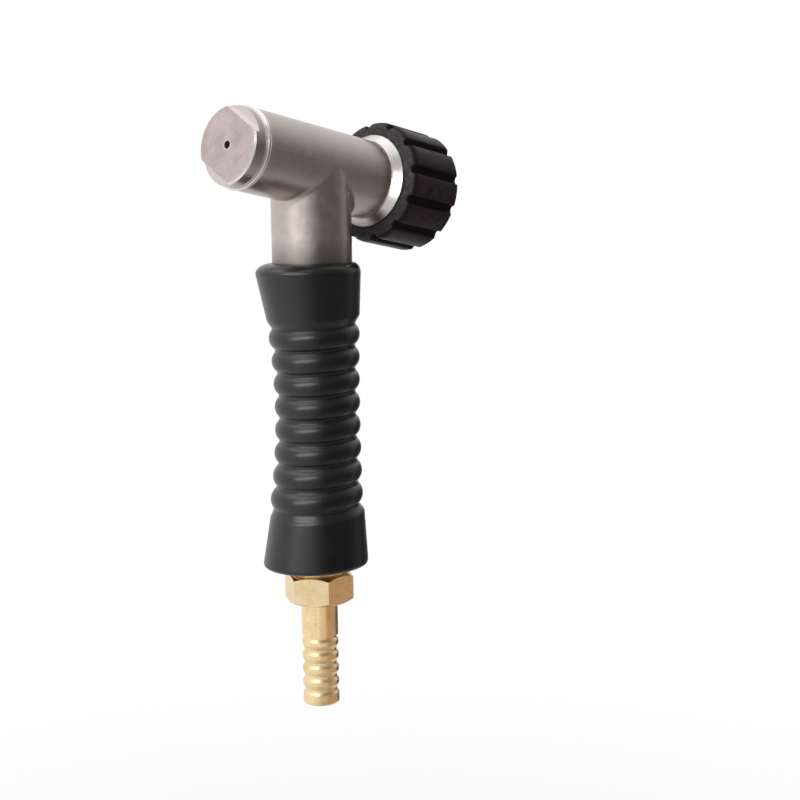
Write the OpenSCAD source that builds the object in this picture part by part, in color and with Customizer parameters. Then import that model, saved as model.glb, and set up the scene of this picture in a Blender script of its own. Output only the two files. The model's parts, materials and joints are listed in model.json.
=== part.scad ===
// Hand torch: a tilted metal barrel on a ribbed rubber handle, with a fluted back cap that screws
// in behind the barrel to close the collet, and a brass hose tail under the handle.
// Z runs up the handle, the nose points to -Y, and the origin is where a hose stops under the nut.

/* [Barrel and stub] */
// How far the nose of the barrel is raised, in degrees
head_tilt = 10; // [0:1:18]
// Outside diameter of the barrel
barrel_d = 25; // [24.5:0.5:28]
// Wall of the barrel
barrel_wall = 3; // [2:0.25:3.5]
// From the stub's axis to the front edge of the barrel
barrel_front = 29.2; // [26:0.2:40]
// From the stub's axis to the rear edge of the barrel
barrel_rear = 27.2; // [25:0.2:40]
// Chamfer on the front edge of the barrel
barrel_chamfer = 0.5; // [0.2:0.1:1]
// Outside diameter of the stub under the barrel
stub_d = 25; // [24:0.5:25.5]
// Height of the barrel's axis over the top of the grip
stub_show = 29.8; // [27:0.2:50]
// How far the stub goes down into the grip
stub_seat = 12; // [10:0.5:14]

/* [Front cap] */
// How much smaller in radius than the barrel the cap's head is
cap_inset = 0.5; // [0.2:0.1:1.5]
// Length of the cap's head, in front of the washer
cap_len = 4.8; // [3.6:0.2:10]
// Chamfer round the cap's front face
cap_chamfer = 0.5; // [0.2:0.1:1]
// How far the two spanner flats are cut into the cap's head
flat_depth = 3; // [1:0.2:4]
// Length of the flats, from the front face
flats_len = 1.8; // [1:0.2:3]
// How far the flats are turned from upright, in degrees
flats_turn = 30; // [0:5:90]
// Length of the plug that screws into the barrel
plug_len = 6.5; // [4:0.5:7.5]
// Diameter of the hole that the electrode comes through
electrode_hole_d = 2.44; // [1.2:0.02:3.4]
// How much the washer behind the cap stands out over the barrel
washer_rise = 0.2; // [0:0.1:0.8]
// Thickness of that washer
front_washer_t = 0.8; // [0.6:0.1:1.5]

/* [Back cap] */
// Diameter over the lobes
knob_d = 39; // [34:0.5:46]
// Length of the knob
knob_len = 22.2; // [19:0.2:32]
// Number of lobes
lobe_count = 12; // [8:1:14]
// Radius of a lobe's crown
lobe_r = 9; // [7:0.5:11]
// Width of the grooves between the lobes
groove_w = 2.8; // [1.6:0.2:3.2]
// Depth of the grooves
groove_depth = 2.2; // [1.4:0.2:2.6]
// Rounding of the knob's rear edge
knob_round = 2.2; // [1.4:0.2:4]
// How much smaller in radius the lobes are at the knob's front face
front_taper = 1.1; // [0.4:0.1:1.6]
// Length over which the lobes rise to their full height
front_taper_len = 3; // [1.5:0.5:5]
// Diameter of the shallow dish in the knob's rear face
dish_d = 24; // [16:1:26]
// Depth of that dish
dish_depth = 1; // [0.6:0.2:2]
// How far the back cap unscrews before the collet is free
cap_travel = 3; // [1:0.5:4]
// How much the collar round the rear of the barrel stands out over it
collar_rise = 2.3; // [1.6:0.1:3.4]
// Length of the collar
collar_len = 2.8; // [2.2:0.2:6]
// Length of the collar's plain rim, behind its cone
collar_rim = 0.6; // [0.4:0.2:1.2]

/* [Grip] */
// Length of the grip
grip_len = 96.6; // [94:0.2:102]
// Distance from the handle's axis to the straight back of the grip
grip_back = 14.5; // [14:0.1:15.5]
// Diameter over the ribs at the waist
waist_d = 27; // [26:0.5:28]
// How much the outermost ribs are larger in radius than the waist
rib_flare = 0.95; // [0:0.05:1.4]
// Number of ribs
rib_count = 8; // [6:1:8]
// Distance from rib to rib
rib_pitch = 7.2; // [6.4:0.1:7.2]
// Radius of a rib's rounded crown
rib_r = 4; // [2.5:0.1:4.2]
// How far the ribs stand over the valleys
rib_rise = 1.4; // [0.8:0.1:1.8]
// How far the ribs lean, lower at the front than at the back, in degrees
rib_lean = 4; // [0:0.5:6]
// Diameter of the top lip
top_lip_d = 32.8; // [30:0.2:36]
// Diameter of the top collar's lower edge
top_neck_d = 29.2; // [29:0.2:31]
// Length of the top collar
top_collar_len = 16.8; // [16:0.2:18]
// Height of the dome from the top lip up to the stub
dome_h = 3.2; // [2:0.1:4]
// Diameter of the bottom lip
bottom_lip_d = 33.3; // [31:0.1:36]
// Diameter of the bottom collar's upper edge
bottom_neck_d = 30; // [29:0.2:31]
// Length of the bottom collar
bottom_collar_len = 18; // [17:0.2:19]
// How far the bottom lip bulges behind the straight back
heel = 1; // [0:0.1:2]
// Rounding of the bottom lip
bottom_round = 1.5; // [1:0.1:3]
// How far the bottom lip is tilted, higher at the back than at the front, in degrees
foot_tilt = 2.5; // [0:0.5:4]

/* [Handle tube] */
// Outside diameter of the tube inside the grip
tube_d = 20; // [19:0.5:20]
// Wall of that tube
tube_wall = 2; // [1.5:0.25:2.25]
// How far the tube goes up into the stub
tube_seat = 14; // [11:0.5:17]
// Diameter of the two grub screws that hold it
grub_d = 3; // [2:0.5:4]

/* [Hose fitting] */
// Width across the nut's flats
nut_af = 19.5; // [19:0.5:24]
// Height of the nut
nut_h = 9.4; // [8.4:0.2:14]
// Thickness of the nut's floor
nut_floor = 2.6; // [2:0.2:3.4]
// Wall of the nut between its flats and its thread
nut_wall = 1.45; // [1.35:0.05:1.8]
// Gap between the nut and the fitting's flange
nut_gap = 0.4; // [0.2:0.1:1.5]
// How much smaller in radius than the handle tube the fitting's flange is
flange_inset = 0.8; // [0:0.1:1.2]
// Thickness of the flange
flange_t = 1; // [0.6:0.1:2.5]
// Thickness of the copper washer over the flange
inlet_washer_t = 0.5; // [0.4:0.1:1.6]
// Diameter of the hose tail's neck and barbs
tail_d = 11.6; // [10.4:0.1:12.6]
// Length of the plain neck under the nut
neck_len = 10.9; // [6:0.1:20]
// Number of barbs
barb_count = 5; // [3:1:8]
// Distance from barb to barb
barb_pitch = 4.35; // [4:0.05:6]
// Depth of the valleys between the barbs
barb_depth = 0.65; // [0.4:0.05:0.9]
// How much longer than the others the last barb is
end_land = 0.8; // [0:0.1:2]
// Wall of the hose tail's neck, round its bore
tail_wall = 2.3; // [2:0.1:3]

/* [Inside the torch] */
// Wall of the insulator round the live core
insulator_wall = 3; // [2.4:0.1:3.2]
// Outside diameter of the collet
collet_d = 5.6; // [5:0.1:6.4]
// Wall of the live core round the back cap's thread
core_wall = 1.5; // [1.2:0.1:1.9]
// Thickness of the O-ring on the back cap
seal_t = 2.4; // [2:0.1:2.6]
// Outside diameter of the supply tube
supply_d = 8; // [7.5:0.5:8.5]
// Wall of the supply tube
supply_wall = 1; // [0.6:0.1:1.4]
// Wall of the insulating sleeve round it
sleeve_wall = 1.4; // [1:0.2:2]

/* [Hidden] */

$fn = 96;
// Overshoot of every cut
cut = 1;
// Radial play of a turning or sliding fit
play = 0.05;
// Gap between faces that slide past each other
gap = 0.3;
// Small chamfer on thin rings and at the start of threads
edge_break = 0.2;
thread_lead = 0.6;

// Diameters, from those that they fit and the walls between them
cap_d = barrel_d - 2 * cap_inset;
flats_width = cap_d - 2 * flat_depth;
front_washer_d = barrel_d + 2 * washer_rise;
collar_d = barrel_d + 2 * collar_rise;
barrel_bore_d = barrel_d - 2 * barrel_wall;
tube_bore_d = tube_d - 2 * tube_wall;
tail_bore_d = tail_d - 2 * tail_wall;
thread_d = nut_af - 2 * nut_wall;
core_d = barrel_bore_d - 2 * insulator_wall;
spindle_d = core_d - 2 * core_wall;

// Heights over the hose stop, from the nut up
flange_z = nut_h + nut_gap;
washer_z = flange_z + flange_t;
grip_z = washer_z + inlet_washer_t;
grip_top = grip_z + grip_len;
head_z = grip_top + stub_show;
stub_foot = grip_top - stub_seat;
tube_top = stub_foot + tube_seat;

// The fitting in the handle: a flange, and a spigot that holds the supply tube in its upper end
flange_d = tube_d - 2 * flange_inset;
spigot_len = 14;
supply_seat = 10;
spigot_top = grip_z + spigot_len;
supply_foot = spigot_top - supply_seat;
way_d = supply_d - 2 * supply_wall;
sleeve_d = supply_d + 2 * sleeve_wall;

// The hose tail's head, held down on its cone by the nut
tail_head_len = 2.1;
tail_head_play = 0.7;
tail_head_d = thread_d - 2 * tail_head_play;
seat_z = nut_floor + tail_head_len;
seat_d = 12;
cone_len = 2.4;
cone_tip_d = 9;
tail_len = neck_len + barb_count * barb_pitch + end_land;
lead_in = 0.6;
swivel_play = 0.1;
neck_relief = 0.3;
nut_bevel_band = 0.5;

// Shares of the barb pitch at which a barb's steep side starts, its crest starts and its crest ends
barb_root = 0.2;
barb_rise = 0.4;
barb_crest = 0.7;

// Stations along the barrel, measured back from the stub's axis
washer_at = -barrel_front - front_washer_t;
cap_face_at = washer_at - cap_len;
cap_floor = 1;
plug_end_at = plug_len - barrel_front;
gasket_t = 1;
insulator_at = plug_end_at + gasket_t;
body_flange_t = 4;
core_at = insulator_at + body_flange_t;
back_room = 8.5;
core_end_at = barrel_rear - back_room;
insulator_lip = 1;
insulator_end_at = core_end_at + insulator_lip;

// The spindle's tip clears the supply tube that comes up in front of it
spindle_gap = 0.5;
tip_at = (supply_d / 2 + spindle_gap + spindle_d / 2 * sin(head_tilt)) / cos(head_tilt);
thread_run_out = 1;

// The collet, from its nose to the spindle's tip, and its seat
body_shank_len = 8;
body_shank_wall = 2;
body_shank_d = core_d - 2 * body_shank_wall;
seat_floor = 2.5;
nose_at = insulator_at + seat_floor;
nose_len = 2.2;
nose_taper = 0.8;
collet_bore_d = electrode_hole_d + 2 * play;
collet_end_at = tip_at - play;
collet_len = collet_end_at - nose_at;
slot_w = 0.5;
slot_len = 11;

// The way for current and gas, from the supply tube up into the core
core_seat = 1.9;
core_socket = core_d / 2 - core_seat;
core_way_d = way_d - 2;
sleeve_clear = 1.4;

// The back cap's spindle, its hub inside the knob and the O-ring in front of the knob
shoulder_gap = 0.8;
shoulder_at = insulator_end_at + shoulder_gap;
seal_sink = 0.5;
shoulder_d = barrel_bore_d - 2 * (seal_t - seal_sink);
thread_over_core = 1;
knob_at = barrel_rear + gap;
knob_skin = 3;
hub_step = 1.4;
hub_d = shoulder_d + 2 * hub_step;
hub_at = knob_at + knob_skin;
hub_len = 12;
hole_floor = 2;
electrode_room = 0.5;
tail_hole_d = electrode_hole_d + 2 * electrode_room;
seal_play = 0.15;
seal_centre_r = barrel_bore_d / 2 - seal_play - seal_t / 2;
seal_at = barrel_rear - cap_travel - seal_t / 2;
lobe_phase = 3.5;

// The collar's cone starts this much over the barrel
collar_start = 0.3;

// The grub screws stop short of both surfaces of the stub and the tube
grub_sink = 0.2;
grub_socket = 1.2;

// Stations of the grip, measured up from the hose stop
rib_zone = (rib_count - 1) * rib_pitch;
top_neck_z = grip_top - top_collar_len;
bottom_neck_z = grip_z + bottom_collar_len;
first_rib_z = (top_neck_z + bottom_neck_z - rib_zone) / 2;
waist_shift = 0.09;
neck_step = 0.4;
neck_step_len = 0.8;
lip_land = 0.2;
lean_pivot = 8;
rib_root = 0.5;
rib_slit = 0.2;
grip_sides = 48;
round_steps = 4;

// Height over the hose stop and place along the ribs, from -1 at the lowest rib to 1 at the highest
function rib_z(i) = first_rib_z + i * rib_pitch;
function along_ribs(z) = 2 * (z - first_rib_z) / rib_zone - 1;

// Radius over the ribs, least at the waist
function crest_r(z) = waist_d / 2 + rib_flare * pow(along_ribs(z) - waist_shift, 2);

// How much a point of the leaning part of the grip lies over its section's height
function lean(y, angle = rib_lean) = (y - lean_pivot) * tan(angle);

// The bottom lip rises from its foremost point, which rests at the height of the grip's foot
foot_rise = -lean(grip_back + heel - bottom_lip_d, foot_tilt);

// A grip section is a circle: [height, radius, bulge behind the straight back, degrees of lean]
function valley(z) = [z, crest_r(z) - rib_rise, -rib_rise, rib_lean];
function bottom_lip() = [for (k = [0 : round_steps]) let (a = 90 * (k / round_steps - 1))
    [grip_z + foot_rise + bottom_round * (1 + sin(a)), bottom_lip_d / 2 - bottom_round * (1 - cos(a)),
        heel, foot_tilt]];
function top_lip(r, end_r) = [for (k = [0 : round_steps])
    let (a = 90 * k / round_steps, inward = 1 - cos(a))
        [grip_top - dome_h * (1 - sin(a)), r - (r - end_r) * inward, (end_r - grip_back) * inward, 0]];

grip_sections = concat(
    bottom_lip(),
    [[bottom_neck_z - neck_step_len / 2, bottom_neck_d / 2, heel / 2, rib_lean]],
    [[bottom_neck_z + neck_step_len / 2, bottom_neck_d / 2 - neck_step, heel / 2 - neck_step, rib_lean]],
    [for (i = [0 : rib_count]) valley(rib_z(i - 0.5))],
    [[top_neck_z - neck_step_len / 2, top_neck_d / 2 - neck_step, -neck_step, rib_lean]],
    [[top_neck_z + neck_step_len / 2, top_neck_d / 2, 0, rib_lean]],
    top_lip(top_lip_d / 2, stub_d / 2 + lip_land));

// Places a piece on the barrel's axis, with its +Z towards the back cap
module on_barrel(station) {
    translate([0, 0, head_z])
        rotate([-90 - head_tilt, 0, 0])
            translate([0, 0, station])
                children();
}

module pipe(outer_d, inner_d, length) {
    difference() {
        cylinder(d = outer_d, h = length);
        translate([0, 0, -cut]) cylinder(d = inner_d, h = length + 2 * cut);
    }
}

// Cylinder with a chamfered front edge and, where it has one, a chamfered rear edge
module bevelled(d, length, front, rear = 0) {
    cylinder(d1 = d - 2 * front, d2 = d, h = front);
    translate([0, 0, front]) cylinder(d = d, h = length - front - rear);
    if (rear > 0) translate([0, 0, length - rear]) cylinder(d1 = d, d2 = d - 2 * rear, h = rear);
}

module head_body() {
    color("silver") difference() {
        union() {
            on_barrel(-barrel_front) bevelled(barrel_d, barrel_front + barrel_rear, barrel_chamfer);
            translate([0, 0, stub_foot]) cylinder(d = stub_d, h = head_z - stub_foot);
        }
        on_barrel(-barrel_front - cut)
            cylinder(d = barrel_bore_d, h = barrel_front + barrel_rear + 2 * cut);
        translate([0, 0, stub_foot - cut]) cylinder(d = tube_d, h = tube_seat + cut);
        translate([0, 0, stub_foot]) cylinder(d = tube_bore_d, h = head_z - stub_foot);
        grub_holes();
    }
}

module front_cap() {
    color("gainsboro") on_barrel(cap_face_at) difference() {
        union() {
            bevelled(cap_d, cap_len, cap_chamfer);
            translate([0, 0, cap_len]) cylinder(d = barrel_bore_d, h = front_washer_t + plug_len);
        }
        for (side = [0, 180]) rotate(flats_turn - 90 + side)
            translate([flats_width / 2, -cap_d, -cut]) cube([cap_d, 2 * cap_d, flats_len + cut]);
        translate([0, 0, -cut]) cylinder(d = electrode_hole_d, h = cap_len + plug_len + 2 * cut);
        translate([0, 0, cap_len + cap_floor]) cylinder(d = core_d, h = front_washer_t + plug_len);
    }
}

module front_washer() {
    color("whitesmoke") on_barrel(washer_at) difference() {
        bevelled(front_washer_d, front_washer_t, edge_break, edge_break);
        translate([0, 0, -cut]) cylinder(d = barrel_bore_d, h = front_washer_t + 2 * cut);
    }
}

module rear_collar() {
    slope_len = collar_len - collar_rim;
    color("whitesmoke") on_barrel(barrel_rear - collar_len) difference() {
        union() {
            cylinder(d1 = barrel_d + 2 * collar_start, d2 = collar_d, h = slope_len);
            translate([0, 0, slope_len]) cylinder(d = collar_d, h = collar_rim);
        }
        translate([0, 0, -cut]) cylinder(d = barrel_d, h = collar_len + 2 * cut);
    }
}

// Outline of the knob's cross-section: crowned lobes with a round-bottomed groove between each two
module lobed_outline() {
    step = 360 / lobe_count;
    difference() {
        union() {
            circle(r = knob_d / 2 - groove_depth);
            for (k = [0 : lobe_count - 1])
                rotate(k * step) translate([knob_d / 2 - lobe_r, 0]) circle(r = lobe_r);
        }
        for (k = [0 : lobe_count - 1])
            rotate((k + 0.5) * step) translate([knob_d / 2 - groove_depth + groove_w / 2, 0])
                circle(d = groove_w);
    }
}

// Turned outline of the knob: tapered front, rounded rear edge and a shallow dish behind
module knob_blank() {
    r = knob_d / 2;
    rotate_extrude() difference() {
        union() {
            polygon([[0, 0], [r - front_taper, 0], [r, front_taper_len], [r, knob_len - knob_round],
                [r - knob_round, knob_len - knob_round], [r - knob_round, knob_len], [0, knob_len]]);
            translate([r - knob_round, knob_len - knob_round]) circle(r = knob_round);
        }
        translate([-1, knob_len - dish_depth]) square([dish_d / 2 + 1, dish_depth + cut]);
    }
}

module back_cap_shell() {
    color("#2a2629") on_barrel(knob_at) difference() {
        intersection() {
            knob_blank();
            rotate(lobe_phase) linear_extrude(knob_len) lobed_outline();
        }
        translate([0, 0, -cut]) cylinder(d = shoulder_d, h = knob_skin + 2 * cut);
        translate([0, 0, knob_skin]) cylinder(d = hub_d, h = hub_len);
    }
}

module back_cap_spindle() {
    thread_len = shoulder_at - tip_at + thread_over_core;
    hole_len = hub_at + hub_len - hole_floor - tip_at;
    color("goldenrod") difference() {
        union() {
            on_barrel(tip_at) bevelled(spindle_d - 2 * play, thread_len, thread_lead);
            on_barrel(shoulder_at) cylinder(d = shoulder_d, h = hub_at - shoulder_at);
            on_barrel(hub_at) cylinder(d = hub_d, h = hub_len);
        }
        on_barrel(seal_at) seal_ring();
        on_barrel(tip_at - cut) cylinder(d = tail_hole_d, h = hole_len + cut);
    }
}

// The O-ring and the groove that it fills
module seal_ring() {
    rotate_extrude() translate([seal_centre_r, 0]) circle(d = seal_t);
}

module back_cap_seal() {
    color("#202020") on_barrel(seal_at) seal_ring();
}

module collet() {
    color("peru") on_barrel(nose_at) difference() {
        collet_form(collet_d, collet_len);
        translate([0, 0, -cut]) cylinder(d = collet_bore_d, h = collet_len + 2 * cut);
        for (turn = [45, 135])
            rotate(turn) translate([-collet_d, -slot_w / 2, -cut])
                cube([2 * collet_d, slot_w, slot_len + cut]);
    }
}

// Outside of the collet, a nose that tapers over a plain length, and with a larger diameter its seat
module collet_form(d, length) {
    cylinder(d1 = d - 2 * nose_taper, d2 = d, h = nose_len);
    translate([0, 0, nose_len]) cylinder(d = d, h = length - nose_len);
}

// Seat round the collet, with the same play at its cone as along its sides
module collet_body() {
    body_len = body_flange_t + body_shank_len;
    color("peru") on_barrel(insulator_at) difference() {
        union() {
            cylinder(d = core_d, h = body_flange_t);
            translate([0, 0, body_flange_t]) cylinder(d = body_shank_d, h = body_shank_len);
        }
        translate([0, 0, -cut]) cylinder(d = collet_bore_d, h = body_len + 2 * cut);
        translate([0, 0, seat_floor - play]) collet_form(collet_d + 2 * play, body_len);
    }
}

module torch_core() {
    color("goldenrod") difference() {
        on_barrel(core_at) cylinder(d = core_d, h = core_end_at - core_at);
        on_barrel(core_at - cut) cylinder(d = body_shank_d, h = body_shank_len + cut);
        on_barrel(core_at) cylinder(d = collet_d + 2 * play, h = core_end_at - core_at);
        on_barrel(tip_at - thread_run_out)
            cylinder(d = spindle_d, h = core_end_at - tip_at + thread_run_out + cut);
        translate([0, 0, head_z - core_d]) cylinder(d = supply_d, h = core_d - core_socket);
        translate([0, 0, head_z - core_d]) cylinder(d = core_way_d, h = core_d);
    }
}

module head_insulator() {
    color("ivory") difference() {
        on_barrel(insulator_at) pipe(barrel_bore_d, core_d, insulator_end_at - insulator_at);
        translate([0, 0, head_z - barrel_d]) cylinder(d = sleeve_d, h = barrel_d);
    }
}

module front_gasket() {
    color("#8c3b2e") on_barrel(plug_end_at) pipe(barrel_bore_d, core_d, gasket_t);
}

module supply_tube() {
    color("peru") translate([0, 0, supply_foot]) pipe(supply_d, way_d, head_z - core_socket - supply_foot);
}

module supply_sleeve() {
    sleeve_top = head_z - core_d / 2 - sleeve_clear;
    color("ivory") translate([0, 0, spigot_top]) pipe(sleeve_d, supply_d, sleeve_top - spigot_top);
}

module handle_tube() {
    color("silver") difference() {
        translate([0, 0, grip_z]) pipe(tube_d, tube_bore_d, tube_top - grip_z);
        grub_holes();
    }
}

// The two grub screws lie on opposite sides of the stub, halfway down the length inside the grip
module grub_places() {
    for (side = [0, 180])
        rotate(side) translate([0, 0, stub_foot + stub_seat / 2]) rotate([0, 90, 0]) children();
}

module grub_holes() {
    grub_places() cylinder(d = grub_d, h = stub_d);
}

module tube_screws() {
    grub_len = (stub_d - tube_bore_d) / 2 - 2 * grub_sink;
    color("dimgray") grub_places() translate([0, 0, tube_bore_d / 2 + grub_sink]) difference() {
        cylinder(d = grub_d, h = grub_len);
        translate([0, 0, grub_len - grub_socket]) cylinder(d = grub_d / 2, h = grub_socket + cut, $fn = 6);
    }
}

// Skin through a list of grip sections, each a circle whose back lies on one straight line
module loft(sections) {
    n = grip_sides;
    rings = len(sections);
    points = [for (s = sections, k = [0 : n - 1])
        let (a = 360 * k / n, y = grip_back + s[2] - s[1] + s[1] * sin(a))
            [s[1] * cos(a), y, s[0] + lean(y, s[3])]];
    sides = [for (j = [0 : rings - 2], k = [0 : n - 1]) let (m = (k + 1) % n)
        [j * n + k, (j + 1) * n + k, (j + 1) * n + m, j * n + m]];
    floor_face = [for (k = [0 : n - 1]) k];
    roof_face = [for (k = [n - 1 : -1 : 0]) (rings - 1) * n + k];
    polyhedron(points, concat([floor_face], sides, [roof_face]));
}

// One rib, from a little under the valleys out to its crown
module rib_ring(r) {
    height = rib_pitch - rib_slit;
    rotate_extrude() intersection() {
        translate([r - rib_r, 0]) circle(r = rib_r);
        translate([r - rib_rise - rib_root, -height / 2]) square([rib_rise + rib_root + cut, height]);
    }
}

module grip() {
    color("#26262a") difference() {
        union() {
            loft(grip_sections);
            for (i = [0 : rib_count - 1]) let (z = rib_z(i), r = crest_r(z), y = grip_back - r)
                translate([0, y, z + lean(y)])
                    rotate([rib_lean, 0, 0])
                        rib_ring(r);
        }
        translate([0, 0, grip_z - cut]) cylinder(d = tube_d, h = grip_len + 2 * cut);
        translate([0, 0, stub_foot]) cylinder(d = stub_d, h = stub_seat + cut);
    }
}

module inlet_washer() {
    color("#a4583a") translate([0, 0, washer_z]) pipe(tube_d, tube_bore_d, inlet_washer_t);
}

module inlet_fitting() {
    color("goldenrod") difference() {
        union() {
            translate([0, 0, seat_z]) cylinder(d = thread_d, h = flange_z - seat_z);
            translate([0, 0, flange_z]) cylinder(d = flange_d, h = flange_t);
            translate([0, 0, washer_z]) cylinder(d = tube_bore_d, h = spigot_top - washer_z);
        }
        translate([0, 0, seat_z]) cylinder(d1 = seat_d, d2 = cone_tip_d, h = cone_len);
        translate([0, 0, seat_z - cut]) cylinder(d = way_d, h = spigot_top);
        translate([0, 0, supply_foot]) cylinder(d = supply_d, h = supply_seat + cut);
    }
}

module hose_nut() {
    corner_d = nut_af / cos(30);
    bevel = (corner_d - nut_af) / 2 + nut_bevel_band;
    color("goldenrod") difference() {
        intersection() {
            rotate(30) cylinder(d = corner_d, h = nut_h, $fn = 6);
            nut_bevels(corner_d, bevel);
        }
        translate([0, 0, nut_floor]) cylinder(d = thread_d + 2 * play, h = nut_h);
        translate([0, 0, -cut]) cylinder(d = tail_d + 2 * swivel_play, h = nut_h);
    }
}

// Turned blank that takes the corners off both ends of the nut at 30 degrees
module nut_bevels(corner_d, bevel) {
    rise = bevel * tan(30);
    cylinder(d1 = corner_d - 2 * bevel, d2 = corner_d, h = rise);
    translate([0, 0, rise]) cylinder(d = corner_d, h = nut_h - 2 * rise);
    translate([0, 0, nut_h - rise]) cylinder(d1 = corner_d, d2 = corner_d - 2 * bevel, h = rise);
}

// Half outline of one barb, whose steep side faces the nut
function barb(top_z) = [
    [tail_d / 2 - barb_depth, top_z],
    [tail_d / 2 - barb_depth, top_z - barb_root * barb_pitch],
    [tail_d / 2, top_z - barb_rise * barb_pitch],
    [tail_d / 2, top_z - barb_crest * barb_pitch]];

module hose_tail() {
    outline = concat(
        [[0, -tail_len], [0, seat_z + cone_len], [cone_tip_d / 2, seat_z + cone_len], [seat_d / 2, seat_z]],
        [[tail_head_d / 2, seat_z], [tail_head_d / 2, nut_floor]],
        [[tail_d / 2 - neck_relief, nut_floor], [tail_d / 2 - neck_relief, 0]],
        [[tail_d / 2, 0], [tail_d / 2, -neck_len]],
        [for (k = [0 : barb_count - 1], p = barb(-neck_len - k * barb_pitch)) p],
        [[tail_d / 2, -tail_len + lead_in], [tail_d / 2 - lead_in, -tail_len]]);
    color("goldenrod") difference() {
        rotate_extrude() polygon(outline);
        translate([0, 0, -tail_len - cut])
            cylinder(d = tail_bore_d, h = tail_len + seat_z + cone_len + 2 * cut);
    }
}

head_body();
front_cap();
front_washer();
rear_collar();
back_cap_shell();
back_cap_spindle();
back_cap_seal();
collet();
collet_body();
torch_core();
head_insulator();
front_gasket();
supply_tube();
supply_sleeve();
handle_tube();
tube_screws();
grip();
inlet_washer();
inlet_fitting();
hose_nut();
hose_tail();
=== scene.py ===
import json
import math
import bmesh
import bpy
from mathutils import Euler, Matrix, Vector


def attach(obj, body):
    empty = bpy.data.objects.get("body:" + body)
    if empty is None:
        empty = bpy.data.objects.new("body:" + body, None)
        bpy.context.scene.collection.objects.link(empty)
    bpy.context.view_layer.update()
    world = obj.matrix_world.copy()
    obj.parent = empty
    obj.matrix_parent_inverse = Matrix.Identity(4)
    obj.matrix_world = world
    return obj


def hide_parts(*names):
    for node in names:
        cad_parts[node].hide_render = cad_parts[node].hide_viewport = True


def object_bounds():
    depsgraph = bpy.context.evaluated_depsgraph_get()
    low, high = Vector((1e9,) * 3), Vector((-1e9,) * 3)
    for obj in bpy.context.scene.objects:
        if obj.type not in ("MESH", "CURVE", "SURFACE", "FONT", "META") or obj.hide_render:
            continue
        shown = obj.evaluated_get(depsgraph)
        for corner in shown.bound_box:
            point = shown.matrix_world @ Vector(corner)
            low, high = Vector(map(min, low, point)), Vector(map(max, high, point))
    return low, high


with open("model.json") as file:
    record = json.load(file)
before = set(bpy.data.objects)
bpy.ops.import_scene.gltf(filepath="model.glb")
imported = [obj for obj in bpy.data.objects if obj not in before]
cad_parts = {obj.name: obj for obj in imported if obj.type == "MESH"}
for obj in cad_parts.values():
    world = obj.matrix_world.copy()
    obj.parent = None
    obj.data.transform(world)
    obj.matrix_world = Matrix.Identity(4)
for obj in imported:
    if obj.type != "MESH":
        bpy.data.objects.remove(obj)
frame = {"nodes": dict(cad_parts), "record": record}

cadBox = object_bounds()
mm = 0.001


def addNode(tree, kind, settings=None, inputs=None):
    node = tree.nodes.new(kind)
    for name, value in (settings or {}).items():
        setattr(node, name, value)
    for name, value in (inputs or {}).items():
        if isinstance(value, bpy.types.NodeSocket):
            tree.links.new(value, node.inputs[name])
        else:
            node.inputs[name].default_value = value
    return node


def doMath(tree, operation, *values, clamp=False):
    node = addNode(tree, "ShaderNodeMath", {"operation": operation, "use_clamp": clamp})
    for index, value in enumerate(values):
        if isinstance(value, bpy.types.NodeSocket):
            tree.links.new(value, node.inputs[index])
        else:
            node.inputs[index].default_value = value
    return node.outputs[0]


def newMesh(name, verts, faces, smooth=True):
    mesh = bpy.data.meshes.new(name)
    mesh.from_pydata(verts, [], faces)
    if smooth:
        mesh.shade_smooth()
    piece = bpy.data.objects.new(name, mesh)
    bpy.context.scene.collection.objects.link(piece)
    return piece


def weld(piece, distance=1e-7):
    work = bmesh.new()
    work.from_mesh(piece.data)
    bmesh.ops.remove_doubles(work, verts=work.verts, dist=distance)
    bmesh.ops.dissolve_degenerate(work, edges=work.edges, dist=distance)
    bmesh.ops.recalc_face_normals(work, faces=work.faces)
    work.to_mesh(piece.data)
    work.free()


def bakeModifiers(piece, name):
    evaluated = piece.evaluated_get(bpy.context.evaluated_depsgraph_get())
    mesh = bpy.data.meshes.new_from_object(evaluated)
    mesh.name = name
    piece.modifiers.clear()
    piece.data = mesh
    piece.name = name
    return piece


def setInput(modifier, name, value):
    for item in modifier.node_group.interface.items_tree:
        if item.item_type == "SOCKET" and item.in_out == "INPUT" and item.name == name:
            modifier[item.identifier] = value
            return
    raise KeyError(name)


def treeInput(tree, name, kind, value=None):
    socket = tree.interface.new_socket(name=name, in_out="INPUT", socket_type=kind)
    if value is not None:
        socket.default_value = value
    return socket


# Rings of points round Z joined to a skin; with closed=True the last ring joins the first
def skin(name, rings, closed=False):
    count = len(rings[0])
    verts = [point for ring in rings for point in ring]
    faces = []
    for row in range(len(rings) if closed else len(rings) - 1):
        here, there = row * count, ((row + 1) % len(rings)) * count
        for k in range(count):
            m = (k + 1) % count
            faces.append((here + k, here + m, there + m, there + k))
    return newMesh(name, verts, faces)


barrel = {"centre": (0, 0, 137.7 * mm), "tilt": 10, "radius": 12.5 * mm}
barrelTurn = Matrix.Rotation(math.radians(-90 - barrel["tilt"]), 4, "X")
barrelFrame = Matrix.Translation(barrel["centre"]) @ barrelTurn


view = {"place": (0.35028, -0.35190, 0.12826), "turn": (82.6444, 0.8413, 41.6733), "lens": 71.34,
        "sensor": 36, "near": 0.01}
camera = bpy.data.objects.new("mainCamera", bpy.data.cameras.new("mainCamera"))
bpy.context.scene.collection.objects.link(camera)
camera.data.lens = view["lens"]
camera.data.sensor_width = view["sensor"]
camera.data.clip_start = view["near"]
camera.location = view["place"]
camera.rotation_euler = Euler([math.radians(a) for a in view["turn"]], "XYZ")
bpy.context.scene.camera = camera
print("camera done")


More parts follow.
